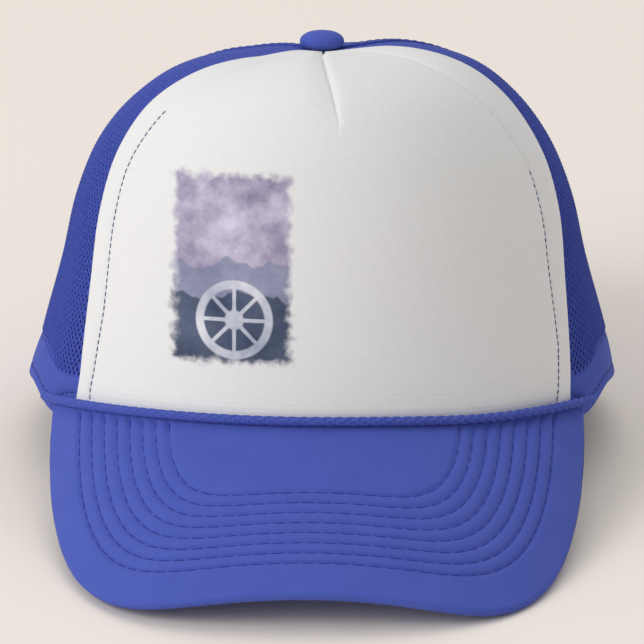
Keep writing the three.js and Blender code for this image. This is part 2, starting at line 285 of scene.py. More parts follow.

# Sewing thread of the visor: polyester in the cloth's own blue, painted darker than the cloth as painted shade for
# the grooves the stitches sink into, with a small soft gleam on each stitch.
shadedQuiltThread = wovenCloth("mid blue polyester thread with painted groove shade", {
    "dark": "#2c3a94", "light": "#3d4cb2", "roughness": 0.7, "sheen": 0.05, "specular": 0.2, "warp": 0.5,
    "weft": 0.5, "slub": 1.0, "blotch": 3.0, "threadShade": 0.5, "bump": 0.2, "depth": 0.05})

# Sewing thread everywhere else: the same, dyed navy, so that single stitches stand out on white.
blueThread = wovenCloth("navy polyester thread", {
    "dark": "#1f2a66", "light": "#2d3a80", "roughness": 0.7, "sheen": 0.05, "specular": 0.2, "warp": 0.5,
    "weft": 0.5, "slub": 1.0, "blotch": 3.0, "threadShade": 0.5, "bump": 0.2, "depth": 0.05})

# Braided polyester cord: round strands with fine filaments and a soft gleam on each crest.
cordBraid = wovenCloth("braided polyester cord", {
    "dark": "#394aa4", "light": "#5565bf", "roughness": 0.8, "sheen": 0.05, "specular": 0.2, "warp": 0.45,
    "weft": 1.5, "slub": 1.2, "blotch": 4.0, "threadShade": 0.5, "bump": 0.4, "depth": 0.1})

# Knitted polyester net: thin yarns, a touch darker than the visor and lighter along their crests.
netYarn = wovenCloth("knitted polyester net", {
    "dark": "#3546a2", "light": "#4a5bba", "roughness": 0.8, "sheen": 0.05, "specular": 0.15, "warp": 0.9,
    "weft": 2.6, "slub": 1.6, "blotch": 6.0, "threadShade": 0.5, "bump": 0.5, "depth": 0.15})


def strapPlastic():
    # Moulded polyethylene: an even satin blue with a faint waviness left by the mould
    material, tree, shader = newMaterial("moulded polyethylene", 0.42, 0.0, 0.5)
    uv = addNode(tree, "UVMap", {"uv_map": "cloth"}).outputs[0]
    ripple = addNode(tree, "TexNoise", {}, {"Vector": uv, "Scale": 220.0, "Detail": 3.0}).outputs[0]
    colour = addNode(tree, "Mix", {"data_type": "RGBA"}, {
        0: ripple, 6: linear("#35459c"), 7: linear("#4050ae")}).outputs[2]
    rough = addNode(tree, "MapRange", {}, {"Value": ripple, "To Min": 0.36, "To Max": 0.5}).outputs[0]
    bump = addNode(tree, "Bump", {}, {"Height": ripple, "Strength": 0.15, "Distance": 0.0004})
    tree.links.new(colour, shader.inputs["Base Color"])
    tree.links.new(rough, shader.inputs["Roughness"])
    tree.links.new(bump.outputs[0], shader.inputs["Normal"])
    return material


satinPlastic = strapPlastic()


# The print is measured in millimetres across and up the front as it is seen from ahead
frontPrint = {
    "middle": (-24.9, 45.0), "half": (17.6, 27.4), "ragged": 3.2, "raggedGrain": 3.5, "soft": 1.6, "cloud": 16.0,
}
frontHills = (
    {"crest": 47.0, "wander": 26.0, "width": 22.0, "shift": 0.0, "dark": "#7b7f9c", "light": "#9d9fba"},
    {"crest": 37.0, "wander": 18.0, "width": 12.0, "shift": 40.0, "dark": "#3c4760", "light": "#5d6780"},
)
frontWheel = {"hub": (-24.0, 30.0), "radius": 10.5, "spokes": 8, "spoke": 2.2, "rim": 1.25, "nave": 2.9}


def printMask(tree, front, place):
    # a rectangle whose border is soft and frayed
    ragged = addNode(tree, "TexNoise", {}, {
        "Vector": front, "Scale": 1000 / frontPrint["raggedGrain"], "Detail": 4.0}).outputs[0]
    frayed = addNode(tree, "MapRange", {}, {
        "Value": ragged, "To Min": -frontPrint["ragged"], "To Max": frontPrint["ragged"]}).outputs[0]
    masks = []
    for value, middle, half in zip(place, frontPrint["middle"], frontPrint["half"]):
        offset = addNode(tree, "Math", {"operation": "SUBTRACT"}, {0: value, 1: middle}).outputs[0]
        distance = addNode(tree, "Math", {"operation": "ABSOLUTE"}, {0: offset}).outputs[0]
        worn = addNode(tree, "Math", {"operation": "ADD"}, {0: distance, 1: frayed}).outputs[0]
        masks.append(addNode(tree, "MapRange", {"interpolation_type": "SMOOTHSTEP"}, {
            "Value": worn, "From Min": half + frontPrint["soft"], "From Max": half - frontPrint["soft"]}).outputs[0])
    return addNode(tree, "Math", {"operation": "MULTIPLY"}, {0: masks[0], 1: masks[1]}).outputs[0]


def printHills(tree, cloudTone, place):
    # a cloudy sky with two lines of hills before it
    picture = addNode(tree, "Mix", {"data_type": "RGBA"}, {
        0: cloudTone, 6: linear("#857a9b"), 7: linear("#d5cfe4")}).outputs[2]
    for hill in frontHills:
        line = addNode(tree, "CombineXYZ", {}, {0: place[0], 1: hill["shift"]}).outputs[0]
        rugged = addNode(tree, "TexNoise", {}, {"Vector": line, "Scale": 1 / hill["width"], "Detail": 3.0}).outputs[0]
        crest = addNode(tree, "MapRange", {}, {
            "Value": rugged, "To Min": hill["crest"] - hill["wander"] / 2,
            "To Max": hill["crest"] + hill["wander"] / 2}).outputs[0]
        below = addNode(tree, "Math", {"operation": "SUBTRACT"}, {0: crest, 1: place[1]}).outputs[0]
        inside = addNode(tree, "MapRange", {"interpolation_type": "SMOOTHSTEP"}, {
            "Value": below, "From Min": -0.4, "From Max": 0.4}).outputs[0]
        ground = addNode(tree, "Mix", {"data_type": "RGBA"}, {
            0: cloudTone, 6: linear(hill["dark"]), 7: linear(hill["light"])}).outputs[2]
        picture = addNode(tree, "Mix", {"data_type": "RGBA"}, {0: inside, 6: picture, 7: ground}).outputs[2]
    return picture


def printWheel(tree, millimetres):
    # rim, nave and spokes, each where its distance is small enough
    hub = addNode(tree, "CombineXYZ", {}, {0: frontWheel["hub"][0], 1: frontWheel["hub"][1]}).outputs[0]
    fromHub = addNode(tree, "VectorMath", {"operation": "SUBTRACT"}, {0: millimetres, 1: hub}).outputs[0]
    radius = addNode(tree, "VectorMath", {"operation": "LENGTH"}, {0: fromHub}).outputs["Value"]
    legs = addNode(tree, "SeparateXYZ", {}, {0: fromHub})
    angle = addNode(tree, "Math", {"operation": "ARCTAN2"}, {0: legs.outputs[1], 1: legs.outputs[0]}).outputs[0]
    turns = addNode(tree, "Math", {"operation": "MULTIPLY"}, {0: angle, 1: frontWheel["spokes"] / 2}).outputs[0]
    swing = addNode(tree, "Math", {"operation": "SINE"}, {0: turns}).outputs[0]
    sideways = addNode(tree, "Math", {"operation": "ABSOLUTE"}, {0: swing}).outputs[0]
    offSpoke = addNode(tree, "Math", {"operation": "MULTIPLY"}, {0: sideways, 1: radius}).outputs[0]
    offRim = addNode(tree, "Math", {"operation": "SUBTRACT"}, {0: radius, 1: frontWheel["radius"]}).outputs[0]
    awayFromRim = addNode(tree, "Math", {"operation": "ABSOLUTE"}, {0: offRim}).outputs[0]
    spokes, rim, nave, disc = (
        addNode(tree, "MapRange", {}, {"Value": value, "From Min": half + blur, "From Max": half - blur}).outputs[0]
        for value, half, blur in (
            (offSpoke, frontWheel["spoke"], 0.4), (awayFromRim, frontWheel["rim"], 0.25),
            (radius, frontWheel["nave"], 0.3), (radius, frontWheel["radius"] - 0.25, 0.25)))
    within = addNode(tree, "Math", {"operation": "MULTIPLY"}, {0: spokes, 1: disc}).outputs[0]
    ringed = addNode(tree, "Math", {"operation": "MAXIMUM"}, {0: rim, 1: nave}).outputs[0]
    return addNode(tree, "Math", {"operation": "MAXIMUM"}, {0: ringed, 1: within}).outputs[0]


def foamFace():
    # White knit laminated to foam: chalky, with a fine vertical rib, and a soft-edged print in lavender greys.
    # The rib is drawn at 1.1 mm, twice its real pitch.
    look = {"rib": 1.1, "course": 1.4, "pore": 1.8}
    material, tree, shader = newMaterial("white polyester knit over foam", 0.92, 0.15, 0.2)
    uv = addNode(tree, "UVMap", {"uv_map": "cloth"}).outputs[0]
    rib = addNode(tree, "TexWave", {"bands_direction": "X"}, {
        "Vector": uv, "Scale": threadScale(look["rib"])}).outputs[1]
    course = addNode(tree, "TexWave", {"bands_direction": "Y"}, {
        "Vector": uv, "Scale": threadScale(look["course"])}).outputs[1]
    pores = addNode(tree, "TexNoise", {}, {"Vector": uv, "Scale": 1000 / look["pore"], "Detail": 3.0}).outputs[0]
    knit = addNode(tree, "Math", {"operation": "MULTIPLY_ADD"}, {0: rib, 1: 0.6, 2: course}).outputs[0]
    height = addNode(tree, "Math", {"operation": "MULTIPLY_ADD"}, {0: pores, 1: 1.2, 2: knit}).outputs[0]
    bump = addNode(tree, "Bump", {}, {"Height": height, "Strength": 0.22, "Distance": 0.00012})
    white = addNode(tree, "Mix", {"data_type": "RGBA"}, {
        0: pores, 6: linear("#e3e3e5"), 7: linear("#eaeaea")}).outputs[2]

    front = addNode(tree, "UVMap", {"uv_map": "front"}).outputs[0]
    millimetres = addNode(tree, "VectorMath", {"operation": "SCALE"}, {0: front, "Scale": 1000.0}).outputs[0]
    place = addNode(tree, "SeparateXYZ", {}, {0: millimetres}).outputs
    clouds = addNode(tree, "TexNoise", {}, {
        "Vector": front, "Scale": 1000 / frontPrint["cloud"], "Detail": 7.0, "Roughness": 0.62}).outputs[0]
    cloudTone = addNode(tree, "MapRange", {}, {"Value": clouds, "From Min": 0.36, "From Max": 0.66}).outputs[0]
    hills = printHills(tree, cloudTone, place)
    iron = addNode(tree, "Mix", {"data_type": "RGBA"}, {
        0: cloudTone, 6: linear("#9fa6bb"), 7: linear("#e2e2ea")}).outputs[2]
    picture = addNode(tree, "Mix", {"data_type": "RGBA"}, {
        0: printWheel(tree, millimetres), 6: hills, 7: iron}).outputs[2]
    colour = addNode(tree, "Mix", {"data_type": "RGBA"}, {
        0: printMask(tree, front, place), 6: white, 7: picture}).outputs[2]
    tree.links.new(colour, shader.inputs["Base Color"])
    tree.links.new(bump.outputs[0], shader.inputs["Normal"])
    return material


whiteFoam = foamFace()

# Bare foam on the inside of the front: off-white, dead matt and softly pitted.
foamLining = wovenCloth("polyurethane foam lining", {
    "dark": "#cfccc4", "light": "#dedbd4", "roughness": 0.97, "sheen": 0.1, "specular": 0.08, "warp": 1.3,
    "weft": 1.3, "slub": 1.0, "blotch": 7.0, "threadShade": 0.3, "bump": 0.5, "depth": 0.2})
print("materials made:", len(bpy.data.materials))


# Making pieces

def finishPiece(bm, name, material, nodes=()):
    mesh = bpy.data.meshes.new(name)
    bm.to_mesh(mesh)
    bm.free()
    mesh.shade_smooth()
    piece = bpy.data.objects.new(name, mesh)
    scene.collection.objects.link(piece)
    mesh.materials.append(material)
    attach(piece, "root")
    if nodes:
        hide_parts(*nodes)
    return piece


def moveVerts(bm, points):
    for vert, place in zip(bm.verts, toFrame(points)):
        vert.co = place


def layCloth(bm, cloth, name="cloth"):
    # where each point lies on the flat cloth, in metres
    layer = bm.loops.layers.uv.new(name)
    bm.verts.index_update()
    for face in bm.faces:
        for loop in face.loops:
            loop[layer].uv = cloth[loop.vert.index]


def laySmallParts(bm):
    # beads and studs are too small for a cloth of their own
    layCloth(bm, np.array([(vert.co.x, vert.co.z) for vert in bm.verts]))


def flatGrid(columns, rows):
    bm = bmesh.new()
    bmesh.ops.create_grid(bm, x_segments=columns, y_segments=rows, size=0.5)
    flat = np.array([vert.co[:2] for vert in bm.verts])
    return bm, (flat - flat.min(0)) / (flat.max(0) - flat.min(0))


def bentGrid(columns, rows, placeAt):
    # a grid whose points are put in place by shares across and up, with its cloth measured along the way
    bm, flat = flatGrid(columns, rows)
    points, cloth = placeAt(flat[:, 0], flat[:, 1])
    moveVerts(bm, points)
    layCloth(bm, np.asarray(cloth) / 1000)
    return bm, points


def closeSeams(bm):
    bmesh.ops.remove_doubles(bm, verts=bm.verts, dist=0.00002)
    bmesh.ops.recalc_face_normals(bm, faces=bm.faces)


def thicken(piece, thickness, edge=0, segments=2):
    wall = piece.modifiers.new("wall", "SOLIDIFY")
    wall.thickness = thickness / 1000
    wall.offset = -1
    if edge:
        soft = piece.modifiers.new("soft edge", "BEVEL")
        soft.width = edge / 1000
        soft.segments = segments
        soft.limit_method = "ANGLE"
        soft.angle_limit = math.radians(50)
    return wall


def crownCloth(azimuth, climb):
    # how far a place is round and up the cloth of the crown
    return np.stack([np.radians(azimuth) * radiusAt(climb), climb * crown["clothLength"]], -1)


def outwardAt(azimuth, climb):
    return crownSkin(azimuth, climb, 1.0) - crownPoint(azimuth, climb)


def alongLine(run, values, place):
    return Vector([np.interp(place, run, values[:, k]) for k in range(3)])


def sewStitches(name, lines, thread, material):
    # one small rounded bead for each stitch, laid along lines of points with the way out at each
    bm = bmesh.new()
    for points, outward in lines:
        ends = toFrame(points)
        outs = (toFrame(points + outward) - ends) * 1000
        run = lengthAlong(points)
        for i in range(int(run[-1] / thread["pitch"])):
            middle, half = (i + 0.5) * thread["pitch"], thread["length"] / 2
            out = alongLine(run, outs, middle).normalized()
            stitch = alongLine(run, ends, middle + half) - alongLine(run, ends, middle - half)
            side = out.cross(stitch).normalized()
            columns = [side * thread["width"] / 2000, out * thread["height"] / 2000, stitch / 2]
            turn = Matrix([list(c) for c in columns]).transposed().to_4x4()
            turn.translation = alongLine(run, ends, middle) + out * (thread["lift"] / 1000)
            bmesh.ops.create_uvsphere(bm, u_segments=6, v_segments=4, radius=1, matrix=turn)
    laySmallParts(bm)
    bmesh.ops.recalc_face_normals(bm, faces=bm.faces)
    return finishPiece(bm, name, material)


# Front panel

frontPanel = {
    "columns": 260, "rows": 130, "wall": 2.6,
    "leftSeam": (53.0, 57.5, 49.0), "rightSeam": (56.5, 68.5, 64.0),  # azimuths at the foot, halfway and near the top
    "edgeRoll": 1.7, "edgeSink": 1.5, "borderPuff": 0.8, "stitchGroove": 0.45, "grooveWidth": 0.55,
    "stitchClimbs": (0.0, 0.06, 0.14, 0.2, 0.3, 0.45, 0.6, 0.72, 0.85),
    "leftStitch": (9.0, 7.2, 8.8, 10.2, 10.4, 10.8, 14.5, 17.0, 15.0),
    "rightStitch": (9.0, 7.4, 7.2, 9.0, 12.6, 15.8, 21.0, 22.0, 15.0),
    "leftStitchTop": 0.61, "rightStitchTop": 0.47,
    "dartAzimuth": 4.9, "dartFoot": 0.56, "dartTop": 0.88, "dartDepth": 1.4, "dartLip": 0.25, "dartReach": 9.0,
    "dartRound": 1.1, "creaseDepth": 0.6, "creaseWidth": 0.4,
}


def seamAzimuth(seam, climb):
    lower = mix(seam[0], seam[1], smoothStep(climb, 0, 0.5))
    return mix(lower, seam[2], smoothStep(climb, 0.6, 0.9))


def frontAzimuth(share, climb):
    # columns crowd towards both seams and towards the dart, which runs up the middle one
    rising = np.clip(climb / frontPanel["dartFoot"], 0, 1)
    falling = np.clip((frontPanel["dartTop"] - climb) / (frontPanel["dartTop"] - frontPanel["dartFoot"]), 0, 1)
    dart = frontPanel["dartAzimuth"] * falling * rising
    half = np.abs(share - 0.5) * 2
    eased = half - 0.09 * np.sin(2 * np.pi * half)
    gap = np.degrees(crown["gap"] / 2 / radiusAt(climb))
    left = gap - seamAzimuth(frontPanel["leftSeam"], climb)
    right = seamAzimuth(frontPanel["rightSeam"], climb) - gap
    return mix(dart, np.where(share < 0.5, left, right), eased), dart, left, right


def stitchInset(side, climb):
    # how far the topstitch lies in from the seam on either side
    left = np.interp(climb, frontPanel["stitchClimbs"], frontPanel["leftStitch"])
    right = np.interp(climb, frontPanel["stitchClimbs"], frontPanel["rightStitch"])
    return np.where(side < 0, left, right)


def placeFront(across, upward):
    climb = upward * topClimb
    azimuth, dart, left, right = frontAzimuth(across, climb)
    radius = radiusAt(climb)
    width = np.radians(right - left) * radius
    narrow = np.maximum(np.minimum(width / 60, 1), 0.05)  # the relief shrinks where the panel runs to a point
    fromSeam = np.radians(np.minimum(azimuth - left, right - azimuth)) * radius / narrow
    stitch = stitchInset(np.sign(across - 0.5), climb) / narrow
    flat = 1 - smoothStep(climb, 0.85, 1)
    out = crown["foamProud"] * (1 - smoothStep(climb, 0.75, 0.95)) * np.ones_like(azimuth)
    out += frontPanel["borderPuff"] * np.sin(np.pi * np.clip(fromSeam / stitch, 0, 1)) * flat
    out -= frontPanel["stitchGroove"] * np.exp(-(((fromSeam - stitch) / frontPanel["grooveWidth"]) ** 2)) * flat
    edge = np.clip(1 - fromSeam / frontPanel["edgeRoll"], 0, 1)
    out -= frontPanel["edgeSink"] * (1 - np.sqrt(1 - edge**2))

    # the dart: the cloth dives under at one side and stands up in a rounded lip at the other
    fromDart = azimuth - dart
    sewn = smoothStep(climb, frontPanel["dartFoot"] - 0.04, frontPanel["dartFoot"] + 0.08)
    near = (1 - np.clip(np.abs(fromDart) / frontPanel["dartReach"], 0, 1)) ** 2
    away = np.radians(np.abs(fromDart)) * radius
    dive = (frontPanel["dartDepth"] + frontPanel["dartLip"]) * np.exp(-away / frontPanel["dartRound"])
    out += sewn * near * np.where(fromDart <= 1e-6, -frontPanel["dartDepth"], frontPanel["dartLip"] - dive)
    crease = frontPanel["creaseDepth"] * np.exp(-((away / frontPanel["creaseWidth"]) ** 2))
    out -= sewn * (1 - smoothStep(climb, 0.8, 0.9)) * crease
    return crownSkin(azimuth, climb, out), crownCloth(azimuth, climb)


climbs = np.linspace(1, 0.5, 1001)
topClimb = float(climbs[np.argmax(radiusAt(climbs) >= crown["topHole"])])
bm, frontPoints = bentGrid(frontPanel["columns"], frontPanel["rows"], placeFront)
layCloth(bm, frontPoints[:, [0, 2]] / 1000, "front")
panel = finishPiece(bm, "foam_front", whiteFoam, ["front_panel"])
panel.data.materials.append(foamLining)
thicken(panel, frontPanel["wall"]).material_offset = 1

frontThread = {"pitch": 2.15, "length": 1.75, "width": 0.36, "height": 0.36, "lift": 0.02}
topstitch = []
for side, word in ((-1, "left"), (1, "right")):
    climb = np.linspace(0.01, frontPanel[word + "StitchTop"], 240)
    inset = np.degrees(stitchInset(side, climb) / radiusAt(climb))
    azimuth = side * (seamAzimuth(frontPanel[word + "Seam"], climb) - inset)
    proud = crown["foamProud"] - frontPanel["stitchGroove"] + 0.2
    topstitch.append((crownSkin(azimuth, climb, proud), outwardAt(azimuth, climb)))
sewStitches("front_topstitch", topstitch, frontThread, blueThread)
print("front panel sewn")


# Net panels: a diamond grid bent over the crown, with a hole through every mesh

netPanel = {
    "across": 3.0, "upward": 2.5, "yarnInset": 0.64516, "yarn": 0.8, "sunk": 0.15, "margin": 0.2, "foot": 11.4,
    "archHalf": 37.0, "archHeight": 42.0, "archEdge": 8.4, "lattice": 128, "firstRow": 44,
}


def archLift(azimuth):
    reach = netPanel["archHalf"] + netPanel["archEdge"]
    off = np.radians(180 - np.abs(azimuth)) * crown["halfDepth"]
    return (netPanel["archHeight"] + netPanel["archEdge"]) * np.sqrt(np.clip(1 - (off / reach) ** 2, 0, 1))


def knitNet(name, node, lowSeam, highSeam, footHeight):
    # lowSeam and highSeam give azimuths by climb; the net hangs straight down the panel's middle
    bm, flat = flatGrid(netPanel["lattice"], netPanel["lattice"])
    flat = np.round(flat * netPanel["lattice"])
    across = (flat[:, 0] - flat[:, 1]) * netPanel["across"] / 2
    upward = (flat[:, 0] + flat[:, 1] - netPanel["firstRow"]) * netPanel["upward"] / 2
    table = np.linspace(0, topClimb, 400)
    spine = lengthAlong(crownPoint((lowSeam(table) + highSeam(table)) / 2, table))
    climb = np.interp(upward, spine, table)
    wanted = (lowSeam(climb) + highSeam(climb)) / 2 + np.degrees(across / radiusAt(climb))
    margin = np.degrees(netPanel["margin"] / radiusAt(climb))
    azimuth = np.clip(wanted, lowSeam(climb) + margin, highSeam(climb) - margin)
    foot = climbAt(azimuth, footHeight(azimuth))
    low = climb < foot
    climb = np.where(low, foot, climb)
    beyond = (np.abs(azimuth - wanted) > 1e-6) | low | (upward > spine[-1]) | (upward < 0)
    moveVerts(bm, crownSkin(azimuth, climb, -netPanel["sunk"]))
    layCloth(bm, crownCloth(azimuth, climb) / 1000)

    # meshes beyond the panel are squashed to slivers and go, those at its border stay closed, the rest open
    slivers = [face for face in bm.faces if face.calc_area() < 0.012 * face.calc_perimeter() ** 2]
    smallest = netPanel["across"] * netPanel["upward"] * 0.4e-6
    opened = [face for face in bm.faces if face.calc_area() > smallest
              and face.calc_area() >= 0.012 * face.calc_perimeter() ** 2
              and not any(beyond[vert.index] for vert in face.verts)]
    inset = netPanel["yarnInset"] / 1000
    bmesh.ops.inset_individual(bm, faces=opened, thickness=inset, use_even_offset=False)
    bmesh.ops.delete(bm, geom=slivers + opened, context="FACES")
    bmesh.ops.delete(bm, geom=[vert for vert in bm.verts if not vert.link_faces], context="VERTS")
    thicken(finishPiece(bm, name, netYarn, [node]), netPanel["yarn"])


def rimTop(azimuth):
    # the side nets end just under the lower binding's upper edge
    return rimFoot(azimuth) + netPanel["foot"]


def backTop(azimuth):
    return np.maximum(rimTop(azimuth), archLift(azimuth))


def level(azimuth):
    return lambda climb: np.full(np.shape(climb), float(azimuth))


def leftSeamAt(climb):
    return -seamAzimuth(frontPanel["leftSeam"], climb)


def rightSeamAt(climb):
    return seamAzimuth(frontPanel["rightSeam"], climb)


backSeam = crown["backSeam"]
knitNet("net_side_right", "side_panel_right", rightSeamAt, level(backSeam), rimTop)
knitNet("net_side_left", "side_panel_left", level(-backSeam), leftSeamAt, rimTop)
knitNet("net_back_right", "back_panel_right", level(backSeam), level(180), backTop)
knitNet("net_back_left", "back_panel_left", level(-180), level(-backSeam), backTop)
print("net panels knitted")


# Seam tapes over the back seams, each with two rows of stitches

seamTape = {
    "width": 6.0, "height": 0.5, "edge": 0.2, "stitchIn": 1.4, "dome": 0.25, "taperRadius": 14.0, "under": 0.3,
}
seamThread = {"pitch": 3.0, "length": 2.2, "width": 0.4, "height": 0.3, "lift": 0.05}


def besideSeam(azimuth, climb, off):
    # the tape narrows where the crown's top gets small
    off = off * np.minimum(radiusAt(climb) / seamTape["taperRadius"], 1)
    return azimuth + np.degrees(off / radiusAt(climb)), off


def seamStrip(name, azimuth, footAt, topAt):
    def place(across, upward):
        climb = mix(footAt, topAt, upward)
        here, off = besideSeam(azimuth, climb, (across - 0.5) * seamTape["width"])
        dome = seamTape["dome"] * np.cos((across - 0.5) * np.pi)
        cloth = np.stack([off, climb * crown["clothLength"]], -1)
        return crownSkin(here, climb, seamTape["height"] + dome), cloth
    bm, _ = bentGrid(10, 90, place)
    tape = finishPiece(bm, name, bindingTape)
    thicken(tape, seamTape["height"] + seamTape["under"], seamTape["edge"])
    rows = []
    for side in (-1, 1):
        climb = np.linspace(footAt + 0.01, topAt - 0.02, 200)
        here, _ = besideSeam(azimuth, climb, side * (seamTape["width"] / 2 - seamTape["stitchIn"]))
        rows.append((crownSkin(here, climb, seamTape["height"] + 0.14), outwardAt(here, climb)))
    return rows


tapeRows = []
for name, azimuth in (("seam_tape_right", backSeam), ("seam_tape_left", -backSeam), ("seam_tape_back", 180.0)):
    foot = float(climbAt(azimuth, backTop(np.array(azimuth)) - 0.5))
    tapeRows += seamStrip(name, azimuth, foot, topClimb)
sewStitches("seam_tape_stitches", tapeRows, seamThread, blueThread)
print("seams taped")


# Bindings of the lower edge and of the arch

binding = {
    "height": 12.0, "proud": 0.5, "puff": 0.4, "wall": 2.1, "edge": 0.5, "archWidth": 9.0, "archSink": 0.2,
    "frontStitch": 7.2, "backStitch": 2.6, "groove": 0.35, "grooveWidth": 0.5,
}
bindingThread = {"pitch": 3.2, "length": 2.3, "width": 0.42, "height": 0.34, "lift": 0.05}


def rimStitch(azimuth):
    # the row that shows just above the braid, and drops towards the back
    return mix(binding["frontStitch"], binding["backStitch"], smoothStep(np.abs(azimuth), 54, 70))


def rimBinding(side, word):
    seam = frontPanel[word + "Seam"]

    def place(across, upward):
        share = across if side > 0 else 1 - across
        tall = upward * binding["height"]
        clear = binding["archWidth"] + crown["gap"]
        half, rise = netPanel["archHalf"] + clear, netPanel["archHeight"] + clear
        last = 180 - np.degrees(half * np.sqrt(1 - (tall / rise) ** 2) / crown["halfDepth"])
        azimuth = side * mix(seam[0] + 0.4, last, share)
        climb = climbAt(azimuth, rimFoot(azimuth) + tall)
        azimuth = side * mix(seamAzimuth(seam, climb) + 0.2, last, share)
        climb = climbAt(azimuth, rimFoot(azimuth) + tall)
        sunk = binding["groove"] * np.exp(-(((tall - rimStitch(azimuth)) / binding["grooveWidth"]) ** 2))
        return crownSkin(azimuth, climb, binding["puff"] * (1 - upward**4) - sunk), crownCloth(azimuth, climb)
    bm, _ = bentGrid(150, 24, place)
    tape = finishPiece(bm, "edge_tape_" + word, bindingTape, ["rim_binding_" + word])
    thicken(tape, binding["wall"], binding["edge"])
    azimuth = side * np.linspace(seam[0] + 1.5, 150, 400)
    climb = climbAt(azimuth, rimFoot(azimuth) + rimStitch(azimuth))
    return [(crownSkin(azimuth, climb, binding["puff"] - 0.25), outwardAt(azimuth, climb))]


def archPlace(across, upward):
    # azimuth and climb of a place along and across the arch's tape
    angle, grown = across * np.pi, binding["archWidth"] * upward
    azimuth = 180 - np.degrees((netPanel["archHalf"] + grown) * np.cos(angle) / crown["halfDepth"])
    return azimuth, climbAt(azimuth, (netPanel["archHeight"] + grown) * np.sin(angle))


def placeArch(across, upward):
    azimuth, climb = archPlace(across, upward)
    puff = binding["puff"] * np.sin(np.pi * upward) ** 0.6
    cloth = np.stack([binding["archWidth"] * upward, across * np.pi * 40], -1)
    return crownSkin(azimuth, climb, binding["proud"] + puff - binding["archSink"]), cloth


bindingRows = rimBinding(-1, "left") + rimBinding(1, "right")
bm, _ = bentGrid(140, 14, placeArch)
archTape = finishPiece(bm, "arch_tape", bindingTape, ["arch_binding"])
thicken(archTape, binding["wall"], binding["edge"])
for upward in (0.22, 0.78):
    across = np.linspace(0.03, 0.97, 300)
    points, _ = placeArch(across, np.full(300, upward))
    bindingRows.append((points, outwardAt(*archPlace(across, upward))))
sewStitches("binding_stitches", bindingRows, bindingThread, blueThread)
print("edges bound")


# Visor: twill over a board, quilted by rows of stitches that follow its edge

visor = {
    "columns": 300, "rows": 280, "upperShare": 0.72,
    "length": 67.9, "tip": 4.0, "squareness": 6.0, "leftSquareness": 5.4, "roundness": 1.95,
    "wall": 3.2, "edgeRound": 1.5, "rootTuck": 1.6, "floorGap": 0.15,
    "rowCount": 8, "innerHalf": 44.1, "rowAcross": 4.15, "innerFront": 27.3, "rowAhead": 3.96,
    "puff": 0.5, "ditch": 0.35, "ditchWidth": 0.11,
}
visorThread = {"pitch": 4.9, "length": 4.0, "width": 0.42, "height": 0.36, "lift": 0.02, "proud": 0.22}


def rowFrame(row):
    # half width, front and back of a row of stitches; rows count from the inner one
    half = visor["innerHalf"] + visor["rowAcross"] * row
    return half, visor["innerFront"] + visor["rowAhead"] * row, rootWay(np.minimum(half, 84.0))


def quiltRow(across, row):
    half, front, back = rowFrame(row)
    share = np.clip(1 - np.abs(across / half) ** visor["squareness"], 0, 1)
    return back + (front - back) * np.sqrt(share)


def rowAt(across, way):
    # the row that passes through a place, as a number with a fraction
    low, high = np.full(np.shape(across), -9.0), np.full(np.shape(across), 12.0)
    rows = np.linspace(-9, 12, 400)
    backs = rowFrame(rows)[2]
    for _ in range(18):
        row = (low + high) / 2
        half = visor["innerHalf"] + visor["rowAcross"] * row
        front = visor["innerFront"] + visor["rowAhead"] * row
        back = np.interp(row, rows, backs)
        ahead = np.clip(way - back, 0, None) / (front - back)
        inside = np.abs(across / half) ** visor["squareness"] + ahead**2 < 1
        low, high = np.where(inside, low, row), np.where(inside, row, high)
    return (low + high) / 2


def quiltHeight(across, way):
    # cushions between the rows, with a narrow ditch along each, all fading out under the braid
    row = rowAt(across, way)
    last = visor["rowCount"] - 1
    nearest = np.clip(np.round(row), 0, last)
    between = smoothStep(row, -0.5, 0) * (1 - smoothStep(row, last, last + 0.5))
    sunk = visor["puff"] * between * (1 - np.abs(np.sin(np.pi * row)) ** 0.75)
    ditch = visor["ditch"] * np.exp(-(((row - nearest) / visor["ditchWidth"]) ** 2))
    return -(sunk + ditch) * smoothStep(way - rootWay(across), 0.3, 2.2)


def visorEdgeAt(across):
    # azimuth on the root, and how far ahead the visor starts and ends there
    side = np.sin((across - 0.5) * np.pi)
    azimuth = np.degrees(np.arcsin(side * math.sin(math.radians(crown["visorEnd"]))))
    start = visorRoot(0.0) @ visorWay
    endWay = visorRoot(crown["visorEnd"]) @ visorWay - start + visor["tip"]
    squareness = np.where(side > 0, visor["squareness"], visor["leftSquareness"])
    bow = np.clip(1 - np.abs(side) ** squareness, 0, 1) ** (1 / visor["roundness"])
    return azimuth, visorRoot(azimuth) @ visorWay - start - visor["rootTuck"], mix(endWay, visor["length"], bow)


